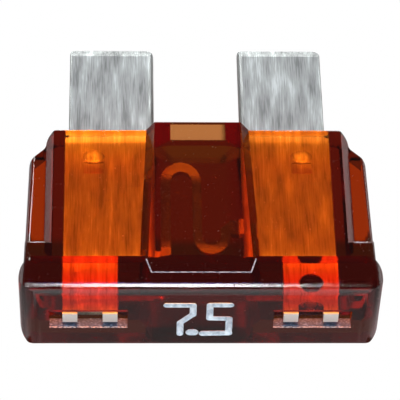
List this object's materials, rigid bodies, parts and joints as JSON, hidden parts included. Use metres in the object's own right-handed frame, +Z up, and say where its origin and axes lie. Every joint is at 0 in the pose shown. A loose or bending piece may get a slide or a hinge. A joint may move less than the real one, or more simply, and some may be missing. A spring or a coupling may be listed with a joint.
{
  "type": "automotive blade fuse",
  "caption": "Flat plug-in fuse: two flat metal blades, a clear amber-brown housing with a thick gripping head, two test slots and a thin S-shaped link in a raised window.",
  "frame": {"origin": "centre of the bounding box's base: under the middle of the fuse's length and width, on the surface that it lies on", "axes": "+X across the two blades, +Y from the thick head to the blade tips, +Z up through the thickness"},
  "size_m": [0.019, 0.0186, 0.0051],
  "materials": {
    "amber_plastic": "clear amber-brown moulded plastic, glossy",
    "tinned_zinc": "dull tin-plated zinc sheet with rolling streaks",
    "digit_paint": "pale blue-white paint in the engraved rating digits, on no solid of its own"
  },
  "bodies": {
    "root": {"housing": "amber_plastic", "element": "tinned_zinc"}
  },
  "joints": []
}
